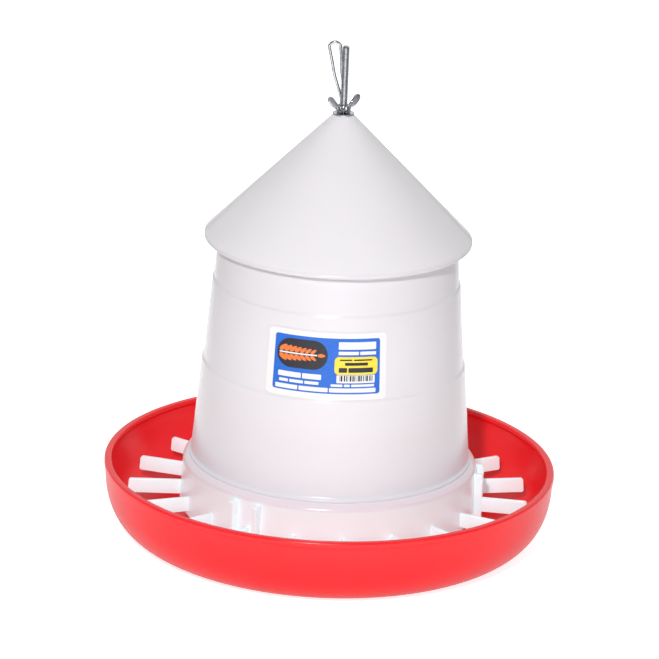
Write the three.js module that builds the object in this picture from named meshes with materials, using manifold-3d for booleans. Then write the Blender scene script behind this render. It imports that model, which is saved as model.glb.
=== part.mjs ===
// Hanging gravity feeder for poultry: a round pan, a ring with feed-saver fins standing in it,
// a stepped hopper on the ring, a conical lid, and a threaded rod that holds the stack together.
// Millimetres, +Z up, Z is the axis of the rod, the label faces -Y and the pan stands on Z = 0.
import * as THREE from 'three';
import { mergeVertices } from 'three/addons/utils/BufferGeometryUtils.js';
import Module from 'manifold-3d';

const wasm = await Module();
wasm.setup();

// Driving dimensions.
const RIM_R = 152.5;
const PAN_H = 50.5;
const HOPPER_TOP = 218.4;
const ROD_TOP = 341.4;
const ROD_LENGTH = 305;
const SEGMENTS = 60;
const GAP = 0.3;
const STACK_GAP = 0.2;

const DEG = Math.PI / 180;
const point = (r, z) => new THREE.Vector2(r, z);

// Arc of a circle in a profile, from one angle to another, in degrees.
function arc(centerR, centerZ, radius, fromDeg, toDeg, steps) {
  const points = [];
  for (let i = 0; i <= steps; i += 1) {
    const a = (fromDeg + ((toDeg - fromDeg) * i) / steps) * DEG;
    points.push(point(centerR + radius * Math.cos(a), centerZ + radius * Math.sin(a)));
  }
  return points;
}

// Welds a geometry so that it is one closed skin.
function weld(geometry) {
  const plain = geometry.clone();
  plain.deleteAttribute('normal');
  plain.deleteAttribute('uv');
  return mergeVertices(plain, 1e-4);
}

// Solid of revolution about Z. A profile that keeps off the axis is closed on itself.
function turned(profile, segments = SEGMENTS) {
  const points = [...profile];
  const last = points[points.length - 1];
  if (last.x > 0) {
    points.push(points[0].clone());
  }
  const geometry = new THREE.LatheGeometry(points, segments);
  geometry.rotateX(Math.PI / 2);
  return weld(geometry);
}

function toManifold(geometry) {
  const welded = weld(geometry);
  return new wasm.Manifold(new wasm.Mesh({
    numProp: 3,
    vertProperties: new Float32Array(welded.attributes.position.array),
    triVerts: new Uint32Array(welded.index.array),
  }));
}

function toGeometry(solid) {
  const mesh = solid.getMesh();
  const geometry = new THREE.BufferGeometry();
  geometry.setAttribute('position', new THREE.BufferAttribute(mesh.vertProperties, 3));
  geometry.setIndex(new THREE.BufferAttribute(mesh.triVerts, 1));
  return geometry;
}

// Turns a geometry built to the right of the axis to a heading: 0 is the front, positive goes to +X.
function toHeading(geometry, headingDeg) {
  geometry.rotateZ((headingDeg - 90) * DEG);
  return geometry;
}

const red = { color: 0xd8202a, roughness: 0.35, metalness: 0 };
const white = { color: 0xf1ecf0, roughness: 0.3, metalness: 0 };
const zinc = { color: 0xb9bdc2, roughness: 0.3, metalness: 1 };
const print = { color: 0x2f63b8, roughness: 0.45, metalness: 0 };

const group = new THREE.Group();
function add(name, geometry, look) {
  const mesh = new THREE.Mesh(geometry, new THREE.MeshStandardMaterial(look));
  mesh.name = name;
  group.add(mesh);
}

// Pan: flat floor, a cone in the middle that sheds feed outward, and a bowed wall with a thick rim.
const PAN_WALL = 3;
const PAN_BASE_R = 111.5;
const PAN_BOW = 2.46;
const RIM_BAND_W = 5;
const RIM_BAND_H = 4.5;
const RIM_STEP = 0.8;
const ROD_R = 2.4;
const BOSS_R = 12;
const BOSS_TOP = 47.5;
const CONE_FOOT_R = 82;
const RIDGE_R = 95;
const RIDGE_H = 2.5;

// Bowed wall between the base and the band under the rim, moved inward by the given amount.
function panWall(inset, startAngle, steps) {
  const reach = RIM_R - RIM_STEP - PAN_BASE_R;
  const rise = PAN_H - RIM_BAND_H;
  const points = [];
  for (let i = 0; i <= steps; i += 1) {
    const a = startAngle + ((Math.PI / 2 - startAngle) * i) / steps;
    const r = PAN_BASE_R + reach * Math.sin(a) ** (2 / PAN_BOW);
    const z = rise * (1 - Math.cos(a) ** (2 / PAN_BOW));
    const lift = inset * Math.cos(a) ** 0.8;
    points.push(point(r - inset * Math.sin(a) ** 0.8, z + lift));
  }
  return points;
}

const panOutline = [
  point(PAN_BASE_R, 0),
  ...panWall(0, 0.12, 8),
  point(RIM_R, PAN_H - RIM_BAND_H + 0.6),
  ...arc(RIM_R - 1.2, PAN_H - 1.2, 1.2, 0, 90, 3),
  ...arc(RIM_R - RIM_BAND_W + 1, PAN_H - 1, 1, 90, 180, 3),
  point(RIM_R - RIM_BAND_W, PAN_H - 2.6),
  ...panWall(PAN_WALL, 0.12, 8).reverse(),
  point(PAN_BASE_R - 6, PAN_WALL),
  point(RIDGE_R + 1.5, PAN_WALL),
  point(RIDGE_R + 1, PAN_WALL + RIDGE_H),
  point(RIDGE_R - 1, PAN_WALL + RIDGE_H),
  point(RIDGE_R - 1.5, PAN_WALL),
  point(CONE_FOOT_R + 4, PAN_WALL),
  point(CONE_FOOT_R - 2, PAN_WALL + 1.8),
  point(BOSS_R + 2, BOSS_TOP - 1),
  point(BOSS_R, BOSS_TOP),
  point(ROD_R + GAP, BOSS_TOP),
  point(ROD_R + GAP, BOSS_TOP - PAN_WALL),
  point(BOSS_R, BOSS_TOP - PAN_WALL),
  point(CONE_FOOT_R - 4, 0),
];
add('feed_pan', turned(panOutline), red);

// Ring: a skirt that flares slightly downward, a flat seat for the hopper with a sloping shoulder
// outside it, and a collar inside the hopper.
const SEAT_Z = 56;
const SEAT_R = 95.6;
const SHOULDER_ROUND = 3;
const SHOULDER_Z = 51;
const SKIRT_TOP_R = 99.2;
const SKIRT_FOOT_R = 100.8;
const SKIRT_FOOT_Z = 20.5;
const SKIRT_WALL = 2.5;
const COLLAR_R = 90.4;
const COLLAR_TOP = 67;
const skirtOutline = [
  point(SKIRT_FOOT_R, SKIRT_FOOT_Z),
  ...arc(SKIRT_TOP_R - SHOULDER_ROUND, SHOULDER_Z, SHOULDER_ROUND, 0, 50, 3),
  point(SEAT_R + 0.3, SEAT_Z - 0.3),
  point(SEAT_R, SEAT_Z),
  point(COLLAR_R, SEAT_Z),
  point(COLLAR_R - 0.3, COLLAR_TOP),
  point(COLLAR_R - 2, COLLAR_TOP),
  point(COLLAR_R - 2, SEAT_Z - 3.6),
  point(SEAT_R - 1.6, SEAT_Z - 3.6),
  point(SKIRT_TOP_R - SKIRT_WALL, SHOULDER_Z - 1.5),
  point(SKIRT_FOOT_R - SKIRT_WALL, SKIRT_FOOT_Z),
];

// Fins: upright plates, tapered by draft so that the lower corner reaches a little further out.
const FIN_COUNT = 19;
const FIN_HEADING = 6.5;
const FIN_TOP = 33.6;
const FIN_BOTTOM = 23.8;
const FIN_TIP_R = 135.6;
const FIN_ROOT_R = 99;
const FIN_THICKNESS = 3;
const FIN_CORNER = 1;

function fin(headingDeg) {
  const outline = new THREE.Shape();
  outline.moveTo(FIN_ROOT_R, FIN_BOTTOM);
  outline.lineTo(FIN_TIP_R - FIN_CORNER + 0.6, FIN_BOTTOM);
  outline.lineTo(FIN_TIP_R + 0.6, FIN_BOTTOM + FIN_CORNER);
  outline.lineTo(FIN_TIP_R, FIN_TOP - FIN_CORNER);
  outline.lineTo(FIN_TIP_R - FIN_CORNER, FIN_TOP);
  outline.lineTo(FIN_ROOT_R, FIN_TOP);
  const plate = new THREE.ExtrudeGeometry(outline, { depth: FIN_THICKNESS, bevelEnabled: false });
  plate.translate(0, 0, -FIN_THICKNESS / 2);
  plate.rotateX(Math.PI / 2);
  return toHeading(plate, headingDeg);
}

// Legs: six ribs in three pairs that run down the skirt and stand on the pan floor.
const LEG_PAIR_COUNT = 3;
const LEG_HEADING = -32.3;
const LEG_HALF_SPREAD = 5.2;
const LEG_INNER_R = 98.5;
const LEG_OUTER_R = 105.2;
const LEG_WIDTH = 3.8;
const LEG_TOP = 50;
const LEG_FOOT = PAN_WALL + STACK_GAP;

function leg(headingDeg) {
  const post = new THREE.BoxGeometry(LEG_OUTER_R - LEG_INNER_R, LEG_WIDTH, LEG_TOP - LEG_FOOT);
  post.translate((LEG_OUTER_R + LEG_INNER_R) / 2, 0, (LEG_TOP + LEG_FOOT) / 2);
  return toHeading(post, headingDeg);
}

let ring = toManifold(turned(skirtOutline));
for (let i = 0; i < FIN_COUNT; i += 1) {
  ring = ring.add(toManifold(fin(FIN_HEADING + (360 * i) / FIN_COUNT)));
}
for (let i = 0; i < LEG_PAIR_COUNT; i += 1) {
  for (const side of [-1, 1]) {
    const heading = LEG_HEADING + (360 * i) / LEG_PAIR_COUNT + side * LEG_HALF_SPREAD;
    ring = ring.add(toManifold(leg(heading)));
  }
}
add('feed_ring', toGeometry(ring), white);

// Hopper: a thin tapering tube in three tiers, each a small rounded step wider than the one above,
// with a foot that turns outward onto the seat of the ring.
const TUBE_WALL = 2;
const TUBE_FOOT = SEAT_Z + STACK_GAP;
const TUBE_FOOT_R = 95.2;
const LOWER_LEDGE = 124;
const UPPER_LEDGE = 180.5;
const LOWER_TIER = { footR: 93.5, topR: 88.5, footZ: 63, topZ: LOWER_LEDGE - 1 };
const MIDDLE_TIER = { footR: 87.3, topR: 83, footZ: LOWER_LEDGE + 1, topZ: UPPER_LEDGE - 1 };
const UPPER_TIER = { footR: 82, topR: 79.6, footZ: UPPER_LEDGE + 1, topZ: HOPPER_TOP - 1 };

function tierRadius(tier, z) {
  return tier.footR + ((tier.topR - tier.footR) * (z - tier.footZ)) / (tier.topZ - tier.footZ);
}

function tubeSide(inset) {
  const points = [];
  for (const tier of [LOWER_TIER, MIDDLE_TIER, UPPER_TIER]) {
    points.push(point(tier.footR - inset, tier.footZ));
    points.push(point(tier.topR - inset, tier.topZ - 0.8));
    points.push(point(tier.topR - inset - 0.3, tier.topZ));
  }
  return points;
}

const tubeOutline = [
  point(TUBE_FOOT_R - 0.4, TUBE_FOOT),
  point(TUBE_FOOT_R, TUBE_FOOT + 0.5),
  point(TUBE_FOOT_R - 0.1, TUBE_FOOT + 1.2),
  point(TUBE_FOOT_R - 1, TUBE_FOOT + 2.4),
  ...tubeSide(0),
  point(UPPER_TIER.topR - 0.8, HOPPER_TOP),
  point(UPPER_TIER.topR - TUBE_WALL, HOPPER_TOP),
  ...tubeSide(TUBE_WALL).reverse(),
  point(TUBE_FOOT_R - 1 - TUBE_WALL, TUBE_FOOT),
];
add('hopper_tube', turned(tubeOutline), white);

// Label: a thin sheet with rounded corners that follows the middle tier.
const LABEL_LENGTH = 82;
const LABEL_HEIGHT = 45;
const LABEL_MIDDLE_Z = 148;
const LABEL_HEADING = -3.1;
const LABEL_CORNER = 4;
const LABEL_SKIN = 0.3;
const LABEL_COLUMNS = 30;

function labelHalfHeight(along) {
  const past = Math.abs(along) - (LABEL_LENGTH / 2 - LABEL_CORNER);
  if (past <= 0) {
    return LABEL_HEIGHT / 2;
  }
  return LABEL_HEIGHT / 2 - LABEL_CORNER + Math.sqrt(Math.max(LABEL_CORNER ** 2 - past ** 2, 0));
}

function labelSheet() {
  const sheet = new THREE.BoxGeometry(2, 2, 1, LABEL_COLUMNS, 1, 1);
  const place = sheet.attributes.position;
  for (let i = 0; i < place.count; i += 1) {
    const along = (LABEL_LENGTH / 2) * Math.sin((place.getX(i) * Math.PI) / 2);
    const z = LABEL_MIDDLE_Z + place.getY(i) * labelHalfHeight(along);
    const layer = STACK_GAP + LABEL_SKIN * (place.getZ(i) + 0.5);
    const r = tierRadius(MIDDLE_TIER, z) + layer;
    const a = along / MIDDLE_TIER.footR + LABEL_HEADING * DEG;
    place.setXYZ(i, r * Math.sin(a), -r * Math.cos(a), z);
  }
  return weld(sheet);
}
add('hopper_label', labelSheet(), print);

// Lid: a cone with a small flat top around the rod and a short turned-down lip at its edge.
const LID_EDGE_R = 89.4;
const LID_APEX_Z = 301.8;
const LID_SLOPE = 1.015;
const LID_WALL_RISE = 3.1;
const LID_FLAT_R = 6.8;
const LID_LIP_FOOT = 208.9;
const LID_HOLE_R = ROD_R + 0.5;
const LID_FLAT_Z = LID_APEX_Z - LID_SLOPE * LID_FLAT_R;
const coneZ = (r) => LID_APEX_Z - LID_SLOPE * r;
const lidOutline = [
  point(LID_EDGE_R - 1.6, LID_LIP_FOOT),
  ...arc(LID_EDGE_R - 0.8, LID_LIP_FOOT + 0.8, 0.8, -90, 0, 2),
  point(LID_EDGE_R, coneZ(LID_EDGE_R) - 0.6),
  point(LID_EDGE_R - 0.5, coneZ(LID_EDGE_R - 0.5)),
  point(LID_FLAT_R + 0.5, coneZ(LID_FLAT_R + 0.5)),
  point(LID_FLAT_R - 0.4, LID_FLAT_Z),
  point(LID_HOLE_R, LID_FLAT_Z),
  point(LID_HOLE_R, LID_FLAT_Z - 2),
  point(LID_FLAT_R - 2, LID_FLAT_Z - 2),
  point(LID_EDGE_R - 2.2, coneZ(LID_EDGE_R - 2.2) - LID_WALL_RISE),
  point(LID_EDGE_R - 2.2, LID_LIP_FOOT + 0.6),
];
add('cone_lid', turned(lidOutline), white);

// Rod: a length of threaded rod with chamfered ends, drawn at its thread's outer diameter.
const ROD_BOTTOM = ROD_TOP - ROD_LENGTH;
const ROD_SEGMENTS = 24;
const rodOutline = [
  point(0, ROD_BOTTOM),
  point(ROD_R - 0.6, ROD_BOTTOM),
  point(ROD_R, ROD_BOTTOM + 0.6),
  point(ROD_R, ROD_TOP - 0.6),
  point(ROD_R - 0.6, ROD_TOP),
  point(0, ROD_TOP),
];
add('threaded_rod', turned(rodOutline, ROD_SEGMENTS), zinc);

// Washers and nuts that clamp the pan on the rod, and the washer on the lid.
function washer(outerR, bottomZ, thickness) {
  const outline = [
    point(outerR - 0.3, bottomZ),
    point(outerR, bottomZ + 0.3),
    point(outerR, bottomZ + thickness - 0.3),
    point(outerR - 0.3, bottomZ + thickness),
    point(ROD_R + GAP, bottomZ + thickness),
    point(ROD_R + GAP, bottomZ),
  ];
  return turned(outline, 36);
}

const NUT_FLAT_R = 4.75;
const NUT_H = 3.2;
function hexNut(bottomZ) {
  const outline = new THREE.Shape();
  for (let i = 0; i < 6; i += 1) {
    const a = i * 60 * DEG;
    const corner = NUT_FLAT_R / Math.cos(30 * DEG);
    const spot = [corner * Math.cos(a), corner * Math.sin(a)];
    if (i === 0) {
      outline.moveTo(...spot);
    } else {
      outline.lineTo(...spot);
    }
  }
  const bore = new THREE.Path();
  bore.absarc(0, 0, ROD_R + GAP, 0, 2 * Math.PI, true);
  outline.holes.push(bore);
  const blank = new THREE.ExtrudeGeometry(outline, { depth: NUT_H, bevelEnabled: false, curveSegments: 24 });
  blank.translate(0, 0, bottomZ);
  return weld(blank);
}

const PAN_WASHER_R = 8;
const PAN_WASHER_T = 1.2;
const UNDER_BOSS = BOSS_TOP - PAN_WALL - STACK_GAP;
const OVER_BOSS = BOSS_TOP + STACK_GAP;
add('pan_lower_washer', washer(PAN_WASHER_R, UNDER_BOSS - PAN_WASHER_T, PAN_WASHER_T), zinc);
add('pan_lower_nut', hexNut(UNDER_BOSS - PAN_WASHER_T - STACK_GAP - NUT_H), zinc);
add('pan_upper_washer', washer(PAN_WASHER_R, OVER_BOSS, PAN_WASHER_T), zinc);
add('pan_upper_nut', hexNut(OVER_BOSS + PAN_WASHER_T + STACK_GAP), zinc);

const LID_WASHER_R = 7.2;
const LID_WASHER_T = 1;
const LID_WASHER_Z = LID_FLAT_Z + STACK_GAP;
add('lid_washer', washer(LID_WASHER_R, LID_WASHER_Z, LID_WASHER_T), zinc);

// Hanging loop: a hairpin of wire whose two feet hook round the rod between the washer and the nut.
// Its legs rise behind the nut, spread apart and lean toward -X.
const WIRE_R = 1;
const LOOP_SEAT = LID_WASHER_Z + LID_WASHER_T + STACK_GAP;
const EYE_Z = LOOP_SEAT + WIRE_R;
const EYE_R = ROD_R + GAP + WIRE_R + 0.2;
const LOOP_TOP = 343.3;
const LOOP_HALF_WIDTH = 3.7;
const NECK_Y = 7.2;
const NECK_HALF_WIDTH = 1.5;
const NECK_FOOT_Z = EYE_Z + 2.6;
const NECK_TOP_Z = EYE_Z + 8;
const CROWN_X = -7.2;
const CROWN_Y = 6;
const CROWN_Z = LOOP_TOP - WIRE_R - LOOP_HALF_WIDTH;
const LEG_LEAN_X = -2.2;

// One half of the hairpin, from its foot to just short of the crown; side is +1 or -1.
function halfHairpin(side) {
  const points = [];
  for (const a of [168, 130, 95, 60]) {
    points.push(new THREE.Vector3(side * EYE_R * Math.sin(a * DEG), EYE_R * Math.cos(a * DEG), EYE_Z));
  }
  points.push(new THREE.Vector3(side * (NECK_HALF_WIDTH + 0.25), NECK_Y - 1.8, EYE_Z + 0.35));
  points.push(new THREE.Vector3(side * NECK_HALF_WIDTH - 0.15, NECK_Y, NECK_FOOT_Z));
  points.push(new THREE.Vector3(side * NECK_HALF_WIDTH - 0.8, NECK_Y, NECK_TOP_Z));
  for (const t of [0.4, 0.7, 1]) {
    const half = THREE.MathUtils.lerp(NECK_HALF_WIDTH, LOOP_HALF_WIDTH, t);
    const x = THREE.MathUtils.lerp(LEG_LEAN_X, CROWN_X, t);
    const y = THREE.MathUtils.lerp(NECK_Y, CROWN_Y, t);
    points.push(new THREE.Vector3(x + side * half, y, THREE.MathUtils.lerp(NECK_TOP_Z, CROWN_Z, t)));
  }
  return points;
}

function hangingLoop() {
  const crown = [-55, 0, 55].map((a) => new THREE.Vector3(
    CROWN_X + LOOP_HALF_WIDTH * Math.sin(a * DEG),
    CROWN_Y,
    CROWN_Z + LOOP_HALF_WIDTH * Math.cos(a * DEG),
  ));
  const path = new THREE.CatmullRomCurve3([...halfHairpin(-1), ...crown, ...halfHairpin(1).reverse()]);
  const wire = new THREE.Shape();
  wire.absarc(0, 0, WIRE_R, 0, 2 * Math.PI, false);
  const options = { steps: 64, extrudePath: path, curveSegments: 8, bevelEnabled: false };
  return weld(new THREE.ExtrudeGeometry(wire, options));
}
add('hanging_loop', hangingLoop(), zinc);

// Wing nut: a low round hub with two wings that rise outward.
const WING_NUT_Z = LOOP_SEAT + 2 * WIRE_R + STACK_GAP;
const HUB_H = 2.8;
const HUB_FOOT_R = 5;
const HUB_TOP_R = 4.3;
const WING_HEADING = -61;
const WING_TIP_R = 12;
const WING_TOP = 9.2;
const WING_THICKNESS = 1.6;

function wing(headingDeg) {
  const outline = new THREE.Shape();
  outline.moveTo(HUB_TOP_R - 1, 0.4);
  outline.lineTo(HUB_FOOT_R + 1.4, 0.5);
  outline.quadraticCurveTo(WING_TIP_R - 2.6, 2.2, WING_TIP_R - 0.5, WING_TOP - 3.8);
  outline.quadraticCurveTo(WING_TIP_R + 0.6, WING_TOP - 0.8, WING_TIP_R - 1.4, WING_TOP);
  outline.quadraticCurveTo(WING_TIP_R - 3, WING_TOP + 0.2, HUB_TOP_R + 3.6, WING_TOP - 1.4);
  outline.lineTo(HUB_TOP_R - 0.6, HUB_H - 0.4);
  const plate = new THREE.ExtrudeGeometry(outline, {
    depth: WING_THICKNESS, bevelEnabled: false, curveSegments: 6,
  });
  plate.translate(0, 0, -WING_THICKNESS / 2);
  plate.rotateX(Math.PI / 2);
  plate.translate(0, 0, WING_NUT_Z);
  return toHeading(plate, headingDeg);
}

const hubOutline = [
  point(HUB_FOOT_R - 0.3, WING_NUT_Z),
  point(HUB_FOOT_R, WING_NUT_Z + 0.4),
  point(HUB_TOP_R, WING_NUT_Z + HUB_H - 0.4),
  point(HUB_TOP_R - 0.4, WING_NUT_Z + HUB_H),
  point(ROD_R + GAP, WING_NUT_Z + HUB_H),
  point(ROD_R + GAP, WING_NUT_Z),
];
const wingNut = toManifold(turned(hubOutline, 36))
  .add(toManifold(wing(WING_HEADING)))
  .add(toManifold(wing(WING_HEADING + 180)));
add('wing_nut', toGeometry(wingNut), zinc);

export default group;
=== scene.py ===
"""Looks of the hanging poultry feeder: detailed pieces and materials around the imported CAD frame.

Lengths in the constants are millimetres, with the axis of the rod at (0, 0) and the pan standing
on 0. Headings are degrees round that axis: 0 is the front (-Y) and positive goes to +X.
"""

import math

import bmesh
import bpy
from mathutils import Matrix, Vector


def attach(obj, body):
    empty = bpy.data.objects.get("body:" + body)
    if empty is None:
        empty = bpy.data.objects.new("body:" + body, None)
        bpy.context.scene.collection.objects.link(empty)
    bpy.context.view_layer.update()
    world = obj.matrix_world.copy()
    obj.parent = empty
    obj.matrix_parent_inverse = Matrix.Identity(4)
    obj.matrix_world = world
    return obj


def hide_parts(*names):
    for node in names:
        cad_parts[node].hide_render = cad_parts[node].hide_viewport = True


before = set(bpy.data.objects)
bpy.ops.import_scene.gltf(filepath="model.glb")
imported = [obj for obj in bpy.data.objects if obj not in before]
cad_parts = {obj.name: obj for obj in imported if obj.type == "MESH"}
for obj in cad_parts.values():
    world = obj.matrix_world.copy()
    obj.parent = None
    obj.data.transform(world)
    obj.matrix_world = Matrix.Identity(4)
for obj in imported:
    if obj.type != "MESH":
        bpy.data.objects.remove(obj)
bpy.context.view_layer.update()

MM = 0.001
ROUND_STEPS = 240

# ---------------------------------------------------------------- outlines and mesh helpers


def rounded(corners, closed=True, step_deg=12):
    """Outline (r, z) from corners (r, z, radius), each corner turned into an arc of that radius."""
    points = []
    count = len(corners)
    for i, (r, z, radius) in enumerate(corners):
        here = Vector((r, z))
        inside = closed or 0 < i < count - 1
        before = Vector(corners[i - 1][:2]) - here
        after = Vector(corners[(i + 1) % count][:2]) - here
        if radius <= 0 or not inside:
            points.append((r, z))
            continue
        half = before.angle(after) / 2
        if half > math.radians(88):
            points.append((r, z))
            continue
        reach = min(radius / math.tan(half), before.length * 0.49, after.length * 0.49)
        radius = reach * math.tan(half)
        bisector = (before.normalized() + after.normalized()).normalized()
        center = here + bisector * (radius / math.sin(half))
        start = here + before.normalized() * reach - center
        end = here + after.normalized() * reach - center
        sweep = start.angle_signed(end)
        steps = max(2, int(abs(math.degrees(sweep)) / step_deg))
        a0 = math.atan2(start.y, start.x)
        for k in range(steps + 1):
            a = a0 - sweep * k / steps
            points.append((center.x + radius * math.cos(a), center.y + radius * math.sin(a)))
    return points


def new_object(name, mesh_data, material, sharp_deg=40):
    mesh_data.polygons.foreach_set("use_smooth", [True] * len(mesh_data.polygons))
    mesh_data.set_sharp_from_angle(angle=math.radians(sharp_deg))
    obj = bpy.data.objects.new(name, mesh_data)
    bpy.context.scene.collection.objects.link(obj)
    obj.data.materials.append(material)
    return obj


def at_heading(r, heading_deg, z):
    """Point in metres at a radius, heading and height given in millimetres and degrees."""
    a = math.radians(heading_deg)
    return Vector((r * math.sin(a) * MM, -r * math.cos(a) * MM, z * MM))


def revolve_into(bm, outline, steps=ROUND_STEPS, closed=True):
    """Adds the surface swept by an outline (r, z) round the axis."""
    rings = []
    for r, z in outline:
        if r < 1e-6:
            rings.append([bm.verts.new((0, 0, z * MM))])
        else:
            rings.append([bm.verts.new(at_heading(r, 360 * k / steps, z)) for k in range(steps)])
    pairs = list(zip(rings, rings[1:]))
    if closed:
        pairs.append((rings[-1], rings[0]))
    for low, high in pairs:
        for k in range(steps):
            n = (k + 1) % steps
            loop = [low[k % len(low)], low[n % len(low)], high[n % len(high)], high[k % len(high)]]
            unique = list(dict.fromkeys(loop))
            if len(unique) > 2:
                bm.faces.new(unique)


def finish_mesh(bm, name):
    bmesh.ops.recalc_face_normals(bm, faces=bm.faces)
    data = bpy.data.meshes.new(name)
    bm.to_mesh(data)
    bm.free()
    return data


def revolved(name, outline, material, steps=ROUND_STEPS, closed=True, sharp_deg=40):
    bm = bmesh.new()
    revolve_into(bm, outline, steps, closed)
    return new_object(name, finish_mesh(bm, name), material, sharp_deg)


def plate_into(bm, outline, thickness, heading_deg, bevel, draft=0.0):
    """Adds an upright plate: outline (r, z), centred on a heading, with rounded edges."""
    a = math.radians(heading_deg)
    out = Vector((math.sin(a), -math.cos(a), 0))
    side = Vector((math.cos(a), math.sin(a), 0))
    low_z = min(z for _, z in outline)
    tall = max(z for _, z in outline) - low_z
    sheets = []
    for sign in (-1, 1):
        sheet = []
        for r, z in outline:
            half = thickness / 2 + draft * (1 - (z - low_z) / tall)
            sheet.append(bm.verts.new((out * r + side * sign * half + Vector((0, 0, z))) * MM))
        sheets.append(sheet)
    faces = [bm.faces.new(sheets[0]), bm.faces.new(list(reversed(sheets[1])))]
    count = len(outline)
    for i in range(count):
        j = (i + 1) % count
        faces.append(bm.faces.new([sheets[0][j], sheets[0][i], sheets[1][i], sheets[1][j]]))
    edges = list({e for f in faces for e in f.edges})
    bmesh.ops.bevel(
        bm, geom=edges, offset=bevel * MM, offset_type="OFFSET", segments=3, profile=0.5,
        affect="EDGES", clamp_overlap=True,
    )


# ---------------------------------------------------------------- materials


def material(name):
    m = bpy.data.materials.new(name)
    m.use_nodes = True
    nodes = m.node_tree.nodes
    return m, nodes, m.node_tree.links, nodes["Principled BSDF"]


def noise(nodes, links, scale, detail=3.0, rough=0.55, stretch=None):
    """Noise over the object's own coordinates; scale is features per metre."""
    place = nodes.new("ShaderNodeTexCoord")
    source = place.outputs["Object"]
    if stretch:
        mapping = nodes.new("ShaderNodeMapping")
        mapping.inputs["Scale"].default_value = stretch
        links.new(source, mapping.inputs["Vector"])
        source = mapping.outputs["Vector"]
    tex = nodes.new("ShaderNodeTexNoise")
    tex.inputs["Scale"].default_value = scale
    tex.inputs["Detail"].default_value = detail
    tex.inputs["Roughness"].default_value = rough
    links.new(source, tex.inputs["Vector"])
    return tex.outputs["Fac"]


def ramp(nodes, links, factor, low, high, start=0.3, end=0.7):
    node = nodes.new("ShaderNodeValToRGB")
    node.color_ramp.elements[0].position = start
    node.color_ramp.elements[1].position = end
    node.color_ramp.elements[0].color = low
    node.color_ramp.elements[1].color = high
    links.new(factor, node.inputs["Fac"])
    return node.outputs["Color"]


def map_range(nodes, links, value, source, target):
    node = nodes.new("ShaderNodeMapRange")
    node.inputs["From Min"].default_value, node.inputs["From Max"].default_value = source
    node.inputs["To Min"].default_value, node.inputs["To Max"].default_value = target
    links.new(value, node.inputs["Value"])
    return node.outputs["Result"]


def spread(nodes, links, factor, low, high):
    """Stretches the middle of a noise, where most of its values lie, over a range."""
    return map_range(nodes, links, factor, (0.3, 0.7), (low, high))


def math_node(nodes, links, operation, first, second=None):
    node = nodes.new("ShaderNodeMath")
    node.operation = operation
    links.new(first, node.inputs[0])
    if isinstance(second, float):
        node.inputs[1].default_value = second
    elif second is not None:
        links.new(second, node.inputs[1])
    return node.outputs["Value"]


def vector_node(nodes, links, operation, first, second):
    node = nodes.new("ShaderNodeVectorMath")
    node.operation = operation
    links.new(first, node.inputs[0])
    links.new(second, node.inputs["Scale" if operation == "SCALE" else 1])
    return node.outputs["Vector"]


def coordinates(nodes, links):
    """The object's own coordinates, in metres."""
    place = nodes.new("ShaderNodeTexCoord")
    split = nodes.new("ShaderNodeSeparateXYZ")
    links.new(place.outputs["Object"], split.inputs["Vector"])
    return split.outputs


def by_height(nodes, links, low_z, high_z):
    """Factor that climbs from 0 at low_z to 1 at high_z, both in millimetres."""
    height = coordinates(nodes, links)["Z"]
    return map_range(nodes, links, height, (low_z * MM, high_z * MM), (0, 1))


def by_distance(nodes, links, near_r, far_r):
    """Factor that climbs from 0 at near_r from the axis to 1 at far_r, both in millimetres."""
    split = coordinates(nodes, links)
    squares = [math_node(nodes, links, "MULTIPLY", split[axis], split[axis]) for axis in "XY"]
    total = math_node(nodes, links, "ADD", *squares)
    distance = math_node(nodes, links, "SQRT", total)
    return map_range(nodes, links, distance, (near_r * MM, far_r * MM), (0, 1))


def bump(nodes, links, height, depth_mm, normal=None):
    node = nodes.new("ShaderNodeBump")
    node.inputs["Strength"].default_value = 1.0
    node.inputs["Distance"].default_value = depth_mm * MM
    links.new(height, node.inputs["Height"])
    if normal is not None:
        links.new(normal, node.inputs["Normal"])
    return node.outputs["Normal"]


def gray(v, tint=(1, 1, 1)):
    return (v * tint[0], v * tint[1], v * tint[2], 1)


def moulded(name, low, high, roughness, subsurface, radius, glow, ior=1.5):
    """Injection-moulded plastic: faint flow mottling, uneven gloss, orange peel, handling marks, and a
    painted glow.
    """
    m, nodes, links, shader = material(name)
    flow = noise(nodes, links, 14, 3, 0.45, (1, 1, 0.35))
    links.new(ramp(nodes, links, flow, low, high, 0.2, 0.8), shader.inputs["Base Color"])
    gloss = noise(nodes, links, 40, 2, 0.5)
    links.new(spread(nodes, links, gloss, *roughness), shader.inputs["Roughness"])
    peel = bump(nodes, links, noise(nodes, links, 160, 2, 0.5), PEEL_DEPTH)
    marks = bump(nodes, links, noise(nodes, links, 1800, 3, 0.6), PEEL_DEPTH * 0.12, peel)
    links.new(marks, shader.inputs["Normal"])
    shader.inputs["IOR"].default_value = ior
    shader.inputs["Subsurface Weight"].default_value = subsurface
    shader.inputs["Subsurface Radius"].default_value = radius
    shader.inputs["Subsurface Scale"].default_value = 2 * MM
    # painted glow: emission standing in for light scattered inside the plastic
    shader.inputs["Emission Color"].default_value = glow
    shader.inputs["Emission Strength"].default_value = 1.0
    return m


def tree_of(m):
    nodes = m.node_tree.nodes
    shader = next(n for n in nodes if n.type == "BSDF_PRINCIPLED")
    return nodes, m.node_tree.links, shader


def shade_by_height(m, low_z, high_z, low_shade, high_shade):
    """Paints shade: multiplies the base colour by a tone that changes between two heights in
    millimetres.
    """
    nodes, links, shader = tree_of(m)
    plain = shader.inputs["Base Color"].links[0].from_socket
    height = by_height(nodes, links, low_z, high_z)
    shade = ramp(nodes, links, height, low_shade, high_shade, 0.0, 1.0)
    links.new(vector_node(nodes, links, "MULTIPLY", plain, shade), shader.inputs["Base Color"])


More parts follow.
